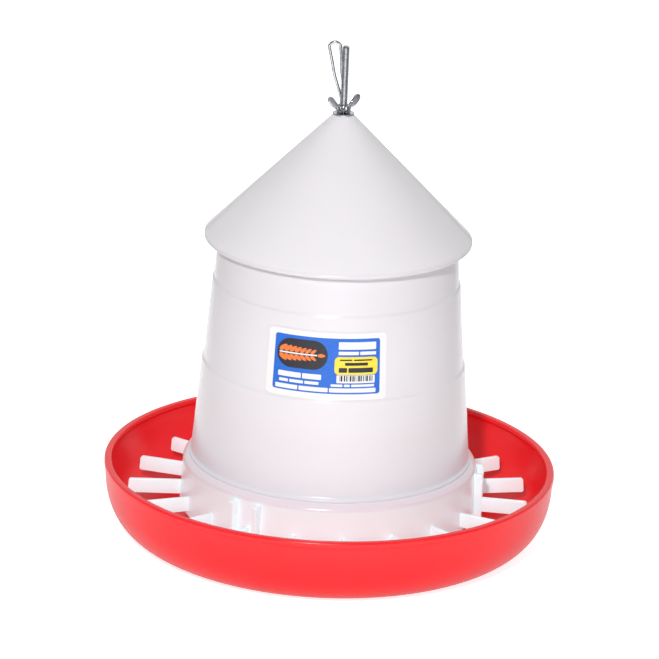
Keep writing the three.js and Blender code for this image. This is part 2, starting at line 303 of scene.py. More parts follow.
def glow_by_height(m, low_z, high_z, low_glow, high_glow):
    """Painted glow: emission standing in for light scattered inside the plastic, changing between two
    heights in millimetres.
    """
    nodes, links, shader = tree_of(m)
    height = by_height(nodes, links, low_z, high_z)
    glow = ramp(nodes, links, height, low_glow, high_glow, 0.0, 1.0)
    links.new(glow, shader.inputs["Emission Color"])
    return glow


def glow_of_ring(m):
    """Painted glow: emission standing in for light scattered inside the ring, warm at the seat,
    strongest in the thin fins.
    """
    nodes, links, shader = tree_of(m)
    glow = glow_by_height(m, SEAT_SHADE_FROM, SEAT_SHADE_TO, RING_GLOW, SEAT_GLOW)
    outward = by_distance(nodes, links, FIN_GLOW_FROM, FIN_GLOW_TO)
    fins = ramp(nodes, links, outward, gray(0), FIN_GLOW, 0.0, 1.0)
    links.new(vector_node(nodes, links, "ADD", glow, fins), shader.inputs["Emission Color"])


PEEL_DEPTH = 0.006
WHITE_TINT = (0.990, 0.965, 1.0)
RING_TINT = (0.97, 0.975, 1.0)
# tints of the painted glow
GLOW_TINT = (1.0, 0.95, 0.99)
RING_GLOW_TINT = (0.52, 0.94, 1.0)
SOFT_SCATTER = (1.0, 0.82, 0.88)
RED_SCATTER = (1.0, 0.12, 0.10)

# painted shade on the ring's thin top edge, over the gap under the seat
SEAT_SHADE = (0.90, 0.82, 0.90, 1)
SEAT_SHADE_FROM = 50.6
SEAT_SHADE_TO = 52.4
# painted shade on the lid's turned-down lip, dimming the bright line it catches from the lamps
LIP_SHADE = (0.80, 0.79, 0.80, 1)
LIP_SHADE_FROM = 210.2
LIP_SHADE_TO = 212.2
# painted shade on the hopper under the lid's shelter
TOP_SHADE = (0.94, 0.94, 0.94, 1)
TOP_SHADE_FROM = 155.0
TOP_SHADE_TO = 205.0

# painted glow: emission on parts that are not lamps, standing in for light scattered inside the plastic
LID_GLOW = gray(0.08, GLOW_TINT)
HOPPER_GLOW = gray(0.11, GLOW_TINT)
# painted glow, stronger at the hopper's foot
FOOT_GLOW = (0.110, 0.167, 0.190, 1)
FOOT_GLOW_FROM = 58.0
FOOT_GLOW_TO = 95.0
RING_GLOW = gray(0.21, RING_GLOW_TINT)
# painted glow, warmer at the ring's seat and added in the fins
SEAT_GLOW = (0.125, 0.128, 0.110, 1)
FIN_GLOW = (0.02, 0.07, 0.07, 1)
FIN_GLOW_FROM = 103.0
FIN_GLOW_TO = 115.0
# painted glow on the red pan
RED_GLOW = (0.03, 0, 0, 1)

white_hopper = moulded(
    "white_polyethylene", gray(0.675, WHITE_TINT), gray(0.695, WHITE_TINT), (0.256, 0.262),
    0.4, SOFT_SCATTER, HOPPER_GLOW,
)
white_lid = moulded(
    "white_polyethylene_lid", gray(0.765, WHITE_TINT), gray(0.785, WHITE_TINT), (0.226, 0.232),
    0.4, SOFT_SCATTER, LID_GLOW,
)
white_ring = moulded(
    "white_polyethylene_ring", gray(0.84, RING_TINT), gray(0.86, RING_TINT), (0.18, 0.24),
    0.25, SOFT_SCATTER, RING_GLOW,
)
red_plastic = moulded(
    "red_polypropylene", (0.93, 0.010, 0.016, 1), (0.96, 0.013, 0.020, 1), (0.268, 0.272),
    0.05, RED_SCATTER, RED_GLOW, 1.48,
)
# painted shade on the ring's seat edge, the lid's lip and the hopper's top; painted glow in the ring and
# at the hopper's foot
shade_by_height(white_ring, SEAT_SHADE_FROM, SEAT_SHADE_TO, gray(1), SEAT_SHADE)
shade_by_height(white_lid, LIP_SHADE_FROM, LIP_SHADE_TO, LIP_SHADE, gray(1))
shade_by_height(white_hopper, TOP_SHADE_FROM, TOP_SHADE_TO, gray(1), TOP_SHADE)
glow_of_ring(white_ring)
glow_by_height(white_hopper, FOOT_GLOW_FROM, FOOT_GLOW_TO, FOOT_GLOW, HOPPER_GLOW)


def plated(name, low, high, roughness, grain_stretch):
    """Bright zinc plate: spangled tint, drawn grain, and dull patches."""
    m, nodes, links, shader = material(name)
    shader.inputs["Metallic"].default_value = 1.0
    patches = noise(nodes, links, 420, 4, 0.6)
    links.new(ramp(nodes, links, patches, low, high), shader.inputs["Base Color"])
    dull = noise(nodes, links, 900, 4, 0.7)
    links.new(spread(nodes, links, dull, *roughness), shader.inputs["Roughness"])
    grain = noise(nodes, links, 1500, 2, 0.5, grain_stretch)
    links.new(bump(nodes, links, grain, 0.02), shader.inputs["Normal"])
    return m


ZINC_ROUGHNESS = (0.06, 0.16)
EVEN_GRAIN = (1, 1, 1)
DRAWN_GRAIN = (4, 4, 0.4)
zinc_cast = plated(
    "zinc_plate", (0.42, 0.43, 0.46, 1), (0.70, 0.71, 0.74, 1), ZINC_ROUGHNESS, EVEN_GRAIN
)
zinc_drawn = plated(
    "zinc_plate_wire", (0.36, 0.37, 0.40, 1), (0.64, 0.65, 0.68, 1), ZINC_ROUGHNESS, DRAWN_GRAIN
)


def printed(name, low, high):
    """Ink on glossy sticker stock: slight mottle in the solid colour and a smooth clear face."""
    m, nodes, links, shader = material(name)
    mottle = noise(nodes, links, 900, 3, 0.7)
    links.new(ramp(nodes, links, mottle, low, high), shader.inputs["Base Color"])
    sheen = noise(nodes, links, 180, 3, 0.5)
    links.new(spread(nodes, links, sheen, 0.30, 0.42), shader.inputs["Roughness"])
    links.new(bump(nodes, links, noise(nodes, links, 240, 2, 0.5), 0.01), shader.inputs["Normal"])
    return m


ink_white = printed("sticker_white", gray(0.80), gray(0.84))
ink_blue = printed("sticker_blue", (0.010, 0.120, 0.56, 1), (0.014, 0.150, 0.66, 1))
ink_yellow = printed("sticker_yellow", (0.90, 0.66, 0.035, 1), (0.95, 0.74, 0.06, 1))
ink_dark = printed("sticker_dark", (0.012, 0.012, 0.018, 1), (0.022, 0.022, 0.030, 1))
ink_orange = printed("sticker_orange", (0.80, 0.16, 0.035, 1), (0.88, 0.22, 0.05, 1))

# ---------------------------------------------------------------- pan

RIM_R = 152.5
PAN_H = 50.5
PAN_BASE_R = 111.5
PAN_BOW = 2.46
PAN_WALL = 3.0
RIM_STEP = 0.8
RIM_BAND_H = 4.5
RIM_BAND_W = 5.0
BOSS_R = 12.0
BOSS_TOP = 47.5
CONE_FOOT_R = 82.0
RIDGE_R = 95.0
ROD_R = 2.4
BORE_R = 2.7


def pan_wall(inset, steps=44):
    """Bowed wall from the base to the band under the rim, moved inward by the wall thickness."""
    reach = RIM_R - RIM_STEP - PAN_BASE_R
    rise = PAN_H - RIM_BAND_H
    points = []
    for i in range(steps + 1):
        a = 0.12 + (math.pi / 2 - 0.12) * i / steps
        r = PAN_BASE_R + reach * math.sin(a) ** (2 / PAN_BOW) - inset * math.sin(a) ** 0.8
        z = rise * (1 - math.cos(a) ** (2 / PAN_BOW)) + inset * max(math.cos(a), 0) ** 0.8
        points.append((r, z))
    return points


def pan_outline():
    rim = rounded(
        [
            (RIM_R - RIM_STEP, PAN_H - RIM_BAND_H - 3, 0),
            (RIM_R - RIM_STEP, PAN_H - RIM_BAND_H, 0.3),
            (RIM_R, PAN_H - RIM_BAND_H + 0.5, 0.4),
            (RIM_R, PAN_H, 1.5),
            (RIM_R - RIM_BAND_W, PAN_H, 1.2),
            (RIM_R - RIM_BAND_W, PAN_H - 2.6, 0.5),
            (RIM_R - RIM_STEP - PAN_WALL, PAN_H - 4.6, 0.6),
            (RIM_R - RIM_STEP - PAN_WALL, PAN_H - 8, 0),
        ],
        closed=False,
    )
    middle = rounded(
        [
            (PAN_BASE_R + 4, PAN_WALL, 0),
            (PAN_BASE_R - 6, PAN_WALL, 0),
            (RIDGE_R + 1.5, PAN_WALL, 0.8),
            (RIDGE_R + 1, PAN_WALL + 2.5, 0.8),
            (RIDGE_R - 1, PAN_WALL + 2.5, 0.8),
            (RIDGE_R - 1.5, PAN_WALL, 0.8),
            (CONE_FOOT_R + 2, PAN_WALL, 6),
            (BOSS_R + 1.2, BOSS_TOP - 0.4, 2.5),
            (BOSS_R - 2, BOSS_TOP, 0.5),
            (BORE_R, BOSS_TOP, 0.4),
            (BORE_R, BOSS_TOP - PAN_WALL, 0.4),
            (BOSS_R, BOSS_TOP - PAN_WALL, 1),
            (CONE_FOOT_R - 4, 0, 2),
            (PAN_BASE_R - 4, 0, 0),
            (PAN_BASE_R, 0, 0),
        ],
        closed=False,
    )
    outer = [p for p in pan_wall(0) if p[1] < PAN_H - RIM_BAND_H - 3]
    inner = [p for p in pan_wall(PAN_WALL) if PAN_WALL + 0.4 < p[1] < PAN_H - 8]
    return outer + rim + inner[::-1] + middle


feed_pan = revolved("pan_moulding", pan_outline(), red_plastic)
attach(feed_pan, "pan_and_rod")
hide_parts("feed_pan")

# ---------------------------------------------------------------- feed ring

SEAT_Z = 56.0
SEAT_R = 95.6
SHOULDER_Z = 51.0
SKIRT_TOP_R = 99.2
SKIRT_FOOT_R = 100.8
SKIRT_FOOT_Z = 20.5
SKIRT_WALL = 2.5
COLLAR_R = 90.4
COLLAR_TOP = 67.0
FIN_COUNT = 19
FIN_HEADING = 6.5
FIN_TOP = 33.6
FIN_BOTTOM = 23.8
FIN_TIP_R = 135.6
FIN_ROOT_R = 99.0
FIN_THICKNESS = 3.0
LEG_PAIRS = 3
LEG_HEADING = -32.3
LEG_HALF_SPREAD = 5.2
LEG_INNER_R = 98.5
LEG_OUTER_R = 105.2
LEG_WIDTH = 3.8
LEG_TOP = 50.0
LEG_FOOT = 3.2


def build_ring():
    bm = bmesh.new()
    skirt = rounded(
        [
            (SKIRT_FOOT_R, SKIRT_FOOT_Z, 0.8),
            (SKIRT_TOP_R, SHOULDER_Z + 1.4, 3.6),
            (SEAT_R + 0.2, SEAT_Z, 0.8),
            (COLLAR_R, SEAT_Z, 0.3),
            (COLLAR_R - 0.3, COLLAR_TOP, 0.6),
            (COLLAR_R - 2, COLLAR_TOP, 0.6),
            (COLLAR_R - 2, SEAT_Z - 3.6, 0.5),
            (SEAT_R - 1.6, SEAT_Z - 3.6, 0.8),
            (SKIRT_TOP_R - SKIRT_WALL, SHOULDER_Z - 1.5, 1.5),
            (SKIRT_FOOT_R - SKIRT_WALL, SKIRT_FOOT_Z, 0.8),
        ]
    )
    revolve_into(bm, skirt)
    fin = [
        (FIN_ROOT_R, FIN_BOTTOM),
        (FIN_TIP_R - 0.4, FIN_BOTTOM),
        (FIN_TIP_R + 0.6, FIN_BOTTOM + 1),
        (FIN_TIP_R, FIN_TOP - 1),
        (FIN_TIP_R - 1, FIN_TOP),
        (FIN_ROOT_R, FIN_TOP),
    ]
    for i in range(FIN_COUNT):
        plate_into(bm, fin, FIN_THICKNESS - 0.3, FIN_HEADING + 360 * i / FIN_COUNT, 0.35, 0.15)
    leg = [(LEG_INNER_R, LEG_FOOT), (LEG_OUTER_R, LEG_FOOT), (LEG_OUTER_R, LEG_TOP - 1),
           (LEG_OUTER_R - 1, LEG_TOP), (LEG_INNER_R, LEG_TOP)]
    for i in range(LEG_PAIRS):
        for side in (-1, 1):
            heading = LEG_HEADING + 360 * i / LEG_PAIRS + side * LEG_HALF_SPREAD
            plate_into(bm, leg, LEG_WIDTH, heading, 0.5)
    return new_object("ring_moulding", finish_mesh(bm, "ring_moulding"), white_ring)


feed_ring = build_ring()
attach(feed_ring, "hopper")
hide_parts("feed_ring")

# ---------------------------------------------------------------- hopper

HOPPER_TOP = 218.4
TUBE_WALL = 2.0
TUBE_FOOT = SEAT_Z + 0.03
TUBE_FOOT_R = 95.55
LOWER_LEDGE = 124.0
UPPER_LEDGE = 180.5
TIERS = [
    # foot radius, top radius, foot height, top height
    (93.5, 88.5, 63.0, LOWER_LEDGE),
    (87.3, 83.0, LOWER_LEDGE, UPPER_LEDGE),
    (82.0, 79.6, UPPER_LEDGE, HOPPER_TOP),
]


def middle_tier_radius(z):
    foot_r, top_r, foot_z, top_z = TIERS[1]
    return foot_r + (top_r - foot_r) * (z - foot_z - 1) / (top_z - foot_z - 2)


def build_hopper():
    outer = [
        (TUBE_FOOT_R - 0.4, TUBE_FOOT, 0.1),
        (TUBE_FOOT_R, TUBE_FOOT + 0.4, 0.3),
        (TUBE_FOOT_R, TUBE_FOOT + 1.6, 0.9),
    ]
    inner = []
    for i, (foot_r, top_r, foot_z, top_z) in enumerate(TIERS):
        last = i == len(TIERS) - 1
        if i:
            outer.append((foot_r, foot_z + 1.2, 1.6))
            inner.append((foot_r - TUBE_WALL, foot_z + 0.6, 1.2))
        else:
            outer.append((foot_r + 0.5, TUBE_FOOT + 3.2, 3))
            inner.append((foot_r - TUBE_WALL, foot_z + 1, 2))
        if not last:
            outer.append((top_r, top_z - 0.4, 1.0))
            inner.append((top_r - TUBE_WALL, top_z - 1.2, 1.4))
    top_r = TIERS[-1][1]
    lip = [(top_r, HOPPER_TOP, 0.7), (top_r - TUBE_WALL, HOPPER_TOP, 0.7)]
    foot = [(TUBE_FOOT_R - 1 - TUBE_WALL, TUBE_FOOT, 0.5)]
    outline = rounded(outer + lip + inner[::-1] + foot)
    return revolved("hopper_moulding", outline, white_hopper, sharp_deg=60)


hopper_tube = build_hopper()
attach(hopper_tube, "hopper")
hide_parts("hopper_tube")

# ---------------------------------------------------------------- sticker

LABEL_LENGTH = 82.0
LABEL_HEIGHT = 45.0
LABEL_MIDDLE_Z = 148.0
LABEL_HEADING = -3.1
LABEL_LIFT = 0.35
LABEL_THICKNESS = 0.15
INK_STEP = 0.03
SLICE = 2.0


def rounded_box(x0, y0, x1, y1, radius, steps=7):
    points = []
    for cx, cy, start in ((x1, y1, 0), (x0, y1, 90), (x0, y0, 180), (x1, y0, 270)):
        ox = cx - radius if cx == x1 else cx + radius
        oy = cy - radius if cy == y1 else cy + radius
        for k in range(steps + 1):
            a = math.radians(start + 90 * k / steps)
            points.append((ox + radius * math.cos(a), oy + radius * math.sin(a)))
    return points


def leaf(x, y, length, width, turn_deg, steps=10):
    """Pointed oval, such as a grain of corn, centred on x, y."""
    turn = math.radians(turn_deg)
    points = []
    for k in range(2 * steps):
        t = math.pi * k / steps
        u = length / 2 * math.cos(t)
        v = width / 2 * math.sin(t) * (1 - 0.25 * math.cos(t))
        px = x + u * math.cos(turn) - v * math.sin(turn)
        py = y + u * math.sin(turn) + v * math.cos(turn)
        points.append((px, py))
    return points


def on_hopper(x, y, lift):
    """Point of the sticker: x along its length and y up from its middle, lifted off the hopper."""
    z = LABEL_MIDDLE_Z + y
    r = middle_tier_radius(z) + lift
    a = LABEL_HEADING + math.degrees(x / TIERS[1][0])
    return at_heading(r, a, z)


def ink(name, outlines, layer, print_material, thickness=0.0):
    bm = bmesh.new()
    for outline in outlines:
        bm.faces.new([bm.verts.new((x, y, 0)) for x, y in outline])
    x = -LABEL_LENGTH / 2
    while x < LABEL_LENGTH / 2:
        geom = bm.verts[:] + bm.edges[:] + bm.faces[:]
        bmesh.ops.bisect_plane(bm, geom=geom, dist=1e-6, plane_co=(x, 0, 0), plane_no=(1, 0, 0))
        x += SLICE
    bmesh.ops.triangulate(bm, faces=bm.faces)
    lift = LABEL_LIFT + LABEL_THICKNESS + INK_STEP * layer
    if thickness:
        shell = bmesh.ops.extrude_face_region(bm, geom=bm.faces[:])
        for v in shell["geom"]:
            if isinstance(v, bmesh.types.BMVert):
                v.co.z = -thickness
    for v in bm.verts:
        v.co = on_hopper(v.co.x, v.co.y, lift + v.co.z)
    piece = new_object(name, finish_mesh(bm, name), print_material, 60)
    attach(piece, "hopper")
    return piece


HALF_L = LABEL_LENGTH / 2
HALF_H = LABEL_HEIGHT / 2
PANEL = (-HALF_L + 4.9, -HALF_H + 4.0, HALF_L - 4.7, HALF_H - 3.6)


def bar(x0, y0, x1, y1):
    return rounded_box(x0, y0, x1, y1, 0.45, 3)


def word_bars(x0, x1, y0, y1, words):
    """A row of plain bars in place of a line of print; words are the shares of the row."""
    gap = 0.9
    room = x1 - x0 - gap * (len(words) - 1)
    total = sum(words)
    bars = []
    x = x0
    for share in words:
        width = room * share / total
        bars.append(bar(x, y0, x + width, y1))
        x += width + gap
    return bars


edge = rounded_box(-HALF_L, -HALF_H, HALF_L, HALF_H, 3.2)
sheet = ink("sticker_sheet", [edge], 0, ink_white, LABEL_THICKNESS)
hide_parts("hopper_label")
ink("sticker_panel", [rounded_box(*PANEL, 1.8)], 1, ink_blue)
title = word_bars(8.0, 33.5, 11.6, 16.6, [1])
title += word_bars(8.0, 33.5, 8.0, 10.2, [5, 4])
contact = word_bars(-32.5, -3, -9.4, -5.9, [5, 4])
contact += word_bars(-31.5, -4.5, -12.9, -10.9, [2, 3, 3])
contact += word_bars(3.5, 32.5, -13.5, -11.9, [2, 1, 4])
contact += word_bars(-34, 33.5, -17.4, -14.5, [4, 5, 8])
ink("sticker_light_bars", title + contact, 2, ink_white)
ink("sticker_badge", [rounded_box(5.6, -5.4, 34.6, 6.6, 3.0)], 2, ink_yellow)
badge = word_bars(9, 31, 4.0, 5.0, [4, 6])
badge += word_bars(12.5, 28, 0.8, 2.8, [1])
badge += word_bars(8.5, 31.5, -3.9, -0.7, [1, 3])
ink("sticker_badge_bars", badge, 3, ink_dark)
ink("sticker_code_patch", [rounded_box(7.2, -11.0, 32.8, -5.7, 0.4, 2)], 3, ink_white)


def code_bars():
    """Upright bars of uneven width in place of a printed code."""
    bars = []
    x = 9.2
    k = 0
    while x < 30.8:
        width = 0.35 + 0.28 * ((k * 7) % 4)
        bars.append([(x, -9.8), (x + width, -9.8), (x + width, -6.0), (x, -6.0)])
        x += width + 0.4 + 0.25 * ((k * 5) % 3)
        k += 1
    return bars


ink("sticker_code_bars", code_bars(), 4, ink_dark)


def grain_ear():
    """A plain ear of grain lying on its side: two rows of pointed grains beside a stalk."""
    grains = []
    for k in range(7):
        x = -29.8 + 3.5 * k
        size = 1 - 0.05 * k
        grains.append(leaf(x, 6.8 + 3.2 * size, 6.6 * size, 3.0 * size, 38))
        grains.append(leaf(x, 6.8 - 3.2 * size, 6.6 * size, 3.0 * size, -38))
    grains.append(leaf(-3.3, 6.8, 5.0, 2.4, 0))
    return grains


EMBLEM = (-34.2, -3.0, 0.8, 16.6)
ink("sticker_grain_shadow", [rounded_box(*EMBLEM, 9.7, 14)], 2, ink_dark)
ink("sticker_grains", grain_ear(), 3, ink_orange)
ink("sticker_stalk", [rounded_box(-32.6, 6.35, -6.2, 7.25, 0.44, 3)], 4, ink_white)

# ---------------------------------------------------------------- lid

LID_EDGE_R = 89.4
LID_APEX_Z = 301.8
LID_SLOPE = 1.015
LID_WALL_RISE = 3.1
LID_FLAT_R = 6.8
LID_LIP_FOOT = 208.9
LID_HOLE_R = ROD_R + 0.5


def cone_z(r):
    return LID_APEX_Z - LID_SLOPE * r


LID_FLAT_Z = cone_z(LID_FLAT_R)
lid_outline = rounded(
    [
        (LID_EDGE_R - 2.2, LID_LIP_FOOT, 0.8),
        (LID_EDGE_R, LID_LIP_FOOT, 0.8),
        (LID_EDGE_R, cone_z(LID_EDGE_R), 1.4),
        (LID_FLAT_R, LID_FLAT_Z, 0.8),
        (LID_HOLE_R, LID_FLAT_Z, 0.3),
        (LID_HOLE_R, LID_FLAT_Z - 2, 0.3),
        (LID_FLAT_R - 2, LID_FLAT_Z - 2, 1),
        (LID_EDGE_R - 2.2, cone_z(LID_EDGE_R - 2.2) - LID_WALL_RISE, 1),
    ]
)
cone_lid = revolved("lid_moulding", lid_outline, white_lid)
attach(cone_lid, "lid")
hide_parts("cone_lid")

# ---------------------------------------------------------------- rod, washers and nuts

ROD_TOP = 341.4
ROD_BOTTOM = 38.0
PITCH = 25.4 / 24
THREAD_DEPTH = 0.45


def build_rod():
    """Threaded rod: a helical groove of the real pitch, fading out at two chamfered ends."""
    around = 20
    per_turn = [(0.0, 0.0), (0.22, 0.0), (0.5, 1.0), (0.66, 1.0), (0.94, 0.0)]
    turns = int((ROD_TOP - ROD_BOTTOM - 2) / PITCH)
    bm = bmesh.new()
    columns = []
    for k in range(around + 1):
        columns.append([])
        shift = k / around
        a = 360 * k / around
        for turn in range(-1, turns + 1):
            for share, depth in per_turn:
                z = ROD_BOTTOM + 1 + (turn + share + shift) * PITCH
                z = min(max(z, ROD_BOTTOM + 0.3), ROD_TOP - 0.3)
                end = min(z - ROD_BOTTOM, ROD_TOP - z)
                r = ROD_R - THREAD_DEPTH * depth
                r = min(r, ROD_R - 0.75 + end)
                columns[-1].append(bm.verts.new(at_heading(r, a, z)))
    for left, right in zip(columns, columns[1:]):
        for j in range(len(left) - 1):
            bm.faces.new([left[j], right[j], right[j + 1], left[j + 1]])
    for z, index in ((ROD_BOTTOM, 0), (ROD_TOP, -1)):
        center = bm.verts.new((0, 0, z * MM))
        rim = [bm.verts.new(at_heading(ROD_R - 0.7, 360 * k / around, z)) for k in range(around)]
        for k in range(around):
            n = (k + 1) % around
            bm.faces.new([center, rim[k], rim[n]])
            bm.faces.new([rim[k], columns[k][index], columns[k + 1][index], rim[n]])
    bmesh.ops.remove_doubles(bm, verts=bm.verts, dist=1e-7)
    bmesh.ops.dissolve_degenerate(bm, edges=bm.edges, dist=1e-7)
    return new_object("rod_thread", finish_mesh(bm, "rod_thread"), zinc_drawn, 50)


rod = build_rod()
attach(rod, "pan_and_rod")
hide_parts("threaded_rod")


def add_washer(node, body, radius, low, thickness):
    """Stamped washer: rolled upper edge, sharper lower edge."""
    outline = rounded(
        [
            (radius, low, 0.15),
            (radius, low + thickness, 0.4),
            (BORE_R, low + thickness, 0.25),
            (BORE_R, low, 0.1),
        ]
    )
    piece = revolved(node + "_stamping", outline, zinc_cast, 96)
    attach(piece, body)
    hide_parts(node)


NUT_FLAT_R = 4.75
NUT_H = 3.2


def add_nut(node, body, low):
    """Hexagonal nut with chamfered corners and a countersunk bore."""
    around = 144
    chamfer_r = NUT_FLAT_R + 0.05
    slope = math.tan(math.radians(30))
    bm = bmesh.new()
    loops = []
    for k in range(around):
        a = math.radians(360 * k / around)
        off = (a + math.pi / 6) % (math.pi / 3) - math.pi / 6
        hex_r = NUT_FLAT_R / math.cos(off)
        drop = max(0.0, hex_r - chamfer_r) * slope
        ring = [
            (BORE_R, low + 0.4), (BORE_R, low + NUT_H - 0.4), (BORE_R + 0.5, low + NUT_H),
            (min(chamfer_r, hex_r) - 0.1, low + NUT_H), (hex_r, low + NUT_H - drop - 0.05),
            (hex_r, low + drop + 0.05), (min(chamfer_r, hex_r) - 0.1, low), (BORE_R + 0.5, low),
        ]
        loops.append([bm.verts.new(at_heading(r, math.degrees(a) + 90, z)) for r, z in ring])
    for k in range(around):
        left, right = loops[k], loops[(k + 1) % around]
        for j in range(len(left)):
            n = (j + 1) % len(left)
            bm.faces.new([left[j], right[j], right[n], left[n]])
    piece = new_object(node + "_hex", finish_mesh(bm, node), zinc_cast, 25)
    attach(piece, body)
    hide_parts(node)


UNDER_BOSS = BOSS_TOP - PAN_WALL - 0.2
OVER_BOSS = BOSS_TOP + 0.2
add_washer("pan_lower_washer", "pan_and_rod", 8, UNDER_BOSS - 1.2, 1.2)
add_nut("pan_lower_nut", "pan_and_rod", UNDER_BOSS - 1.2 - 0.2 - NUT_H)
add_washer("pan_upper_washer", "pan_and_rod", 8, OVER_BOSS, 1.2)
add_nut("pan_upper_nut", "pan_and_rod", OVER_BOSS + 1.2 + 0.2)
LID_WASHER_Z = LID_FLAT_Z + 0.2
add_washer("lid_washer", "lid", 7.2, LID_WASHER_Z, 1.0)

# ---------------------------------------------------------------- hanging loop

WIRE_R = 1.0
EYE_Z = LID_WASHER_Z + 1.0 + 0.2 + WIRE_R
EYE_R = ROD_R + 0.3 + WIRE_R + 0.2
LOOP_TOP = 343.3
LOOP_HALF_WIDTH = 3.7
NECK_Y = 7.2
NECK_HALF_WIDTH = 1.5
CROWN_X = -7.2
CROWN_Y = 6.0
CROWN_Z = LOOP_TOP - WIRE_R - LOOP_HALF_WIDTH
LEG_LEAN_X = -2.2


def lerp(a, b, t):
    return a + (b - a) * t


def half_hairpin(side):
    """One side of the wire, from its end behind the rod round the eye and up to the crown."""
    points = []
    for a in (168, 130, 95, 60):
        t = math.radians(a)
        points.append(Vector((side * EYE_R * math.sin(t), EYE_R * math.cos(t), EYE_Z)))
    points.append(Vector((side * (NECK_HALF_WIDTH + 0.25), NECK_Y - 1.8, EYE_Z + 0.35)))
    points.append(Vector((side * NECK_HALF_WIDTH - 0.15, NECK_Y, EYE_Z + 2.6)))
    points.append(Vector((side * NECK_HALF_WIDTH - 0.8, NECK_Y, EYE_Z + 8)))
    for t in (0.4, 0.7, 1.0):
        half = lerp(NECK_HALF_WIDTH, LOOP_HALF_WIDTH, t)
        x = lerp(LEG_LEAN_X, CROWN_X, t) + side * half
        points.append(Vector((x, lerp(NECK_Y, CROWN_Y, t), lerp(EYE_Z + 8, CROWN_Z, t))))
    return points


def smooth_path(points, per_span=10):
    """Catmull-Rom curve through the points."""
    ends = [points[0] * 2 - points[1]] + points + [points[-1] * 2 - points[-2]]
    path = []
    for i in range(1, len(ends) - 2):
        a, b, c, d = ends[i - 1 : i + 3]
        for k in range(per_span):
            t = k / per_span
            square = 2 * a - 5 * b + 4 * c - d
            cube = 3 * b - a - 3 * c + d
            path.append(0.5 * (2 * b + (c - a) * t + square * t**2 + cube * t**3))
    path.append(points[-1].copy())
    return path


def build_loop():
    crown = []
    for a in (-60, -30, 0, 30, 60):
        t = math.radians(a)
        x = CROWN_X + LOOP_HALF_WIDTH * math.sin(t)
        crown.append(Vector((x, CROWN_Y, CROWN_Z + LOOP_HALF_WIDTH * math.cos(t))))
    path = smooth_path(half_hairpin(-1) + crown + half_hairpin(1)[::-1])
    around = 16
    bm = bmesh.new()
    rings = []
    normal = Vector((0, 0, 1))
    for i, p in enumerate(path):
        tangent = (path[min(i + 1, len(path) - 1)] - path[max(i - 1, 0)]).normalized()
        normal = (normal - tangent * normal.dot(tangent)).normalized()
        across = tangent.cross(normal)
        ring = []
        for k in range(around):
            a = 2 * math.pi * k / around
            ring.append(bm.verts.new((p + (normal * math.cos(a) + across * math.sin(a)) * WIRE_R) * MM))
        rings.append(ring)
    for low, high in zip(rings, rings[1:]):
        for k in range(around):
            n = (k + 1) % around
            bm.faces.new([low[k], low[n], high[n], high[k]])
    for ring in (rings[0], rings[-1]):
        face = bm.faces.new(ring)
        bmesh.ops.inset_region(bm, faces=[face], thickness=0.25 * MM, depth=0.0)
    return new_object("loop_wire", finish_mesh(bm, "loop_wire"), zinc_drawn, 60)


loop = build_loop()
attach(loop, "loop")
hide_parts("hanging_loop")

# ---------------------------------------------------------------- wing nut

WING_NUT_Z = EYE_Z + WIRE_R + 0.2
HUB_H = 2.8
HUB_FOOT_R = 5.0
HUB_TOP_R = 4.3
WING_HEADING = -61.0
WING_TIP_R = 12.0
WING_TOP = 9.2
WING_THICKNESS = 1.6


def bezier(p0, p1, p2, steps=8):
    points = []
    for k in range(1, steps + 1):
        t = k / steps
        shares = ((1 - t) ** 2, 2 * t * (1 - t), t * t)
        points.append(tuple(sum(w * v for w, v in zip(shares, axis)) for axis in zip(p0, p1, p2)))
    return points


def wing_outline():
    foot = (HUB_FOOT_R + 1.4, 0.5)
    low_tip = (WING_TIP_R - 0.5, WING_TOP - 3.8)
    high_tip = (WING_TIP_R - 1.4, WING_TOP)
    throat = (HUB_TOP_R + 3.6, WING_TOP - 1.4)
    points = [(HUB_TOP_R - 1, 0.4), foot]
    points += bezier(foot, (WING_TIP_R - 2.6, 2.2), low_tip)
    points += bezier(low_tip, (WING_TIP_R + 0.6, WING_TOP - 0.8), high_tip)
    points += bezier(high_tip, (WING_TIP_R - 3, WING_TOP + 0.2), throat)
    points.append((HUB_TOP_R - 0.6, HUB_H - 0.4))
    return [(r, WING_NUT_Z + z) for r, z in points]


def build_wing_nut():
    bm = bmesh.new()
    hub = rounded(
        [
            (HUB_FOOT_R, WING_NUT_Z, 0.3),
            (HUB_TOP_R, WING_NUT_Z + HUB_H, 0.7),
            (BORE_R, WING_NUT_Z + HUB_H, 0.3),
            (BORE_R, WING_NUT_Z, 0.2),
        ]
    )
    revolve_into(bm, hub, 96)
    for heading in (WING_HEADING, WING_HEADING + 180):
        plate_into(bm, wing_outline(), WING_THICKNESS, heading, 0.45)
    return new_object("wing_nut_casting", finish_mesh(bm, "wing_nut_casting"), zinc_cast, 45)


wing_nut = build_wing_nut()
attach(wing_nut, "wing_nut_body")
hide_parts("wing_nut")

# ---------------------------------------------------------------- floor, light and camera

FLOOR_HALF_SIZE = 6.0
FLOOR_GAP = 0.2
FLOOR_GLOW = 0.80
# metres to either side between which the reflected floor turns dark
FLOOR_FADE = (0.28, 0.60)
FLOOR_SIDE_GLOW = 0.04
FLOOR_SIDE_SHADE = 0.5
# painted shadow: the reflected floor is dimmer close to the pan, standing in for its shade
SHADE_REACH = (130.0, 330.0)
PAN_SHADE = 0.48


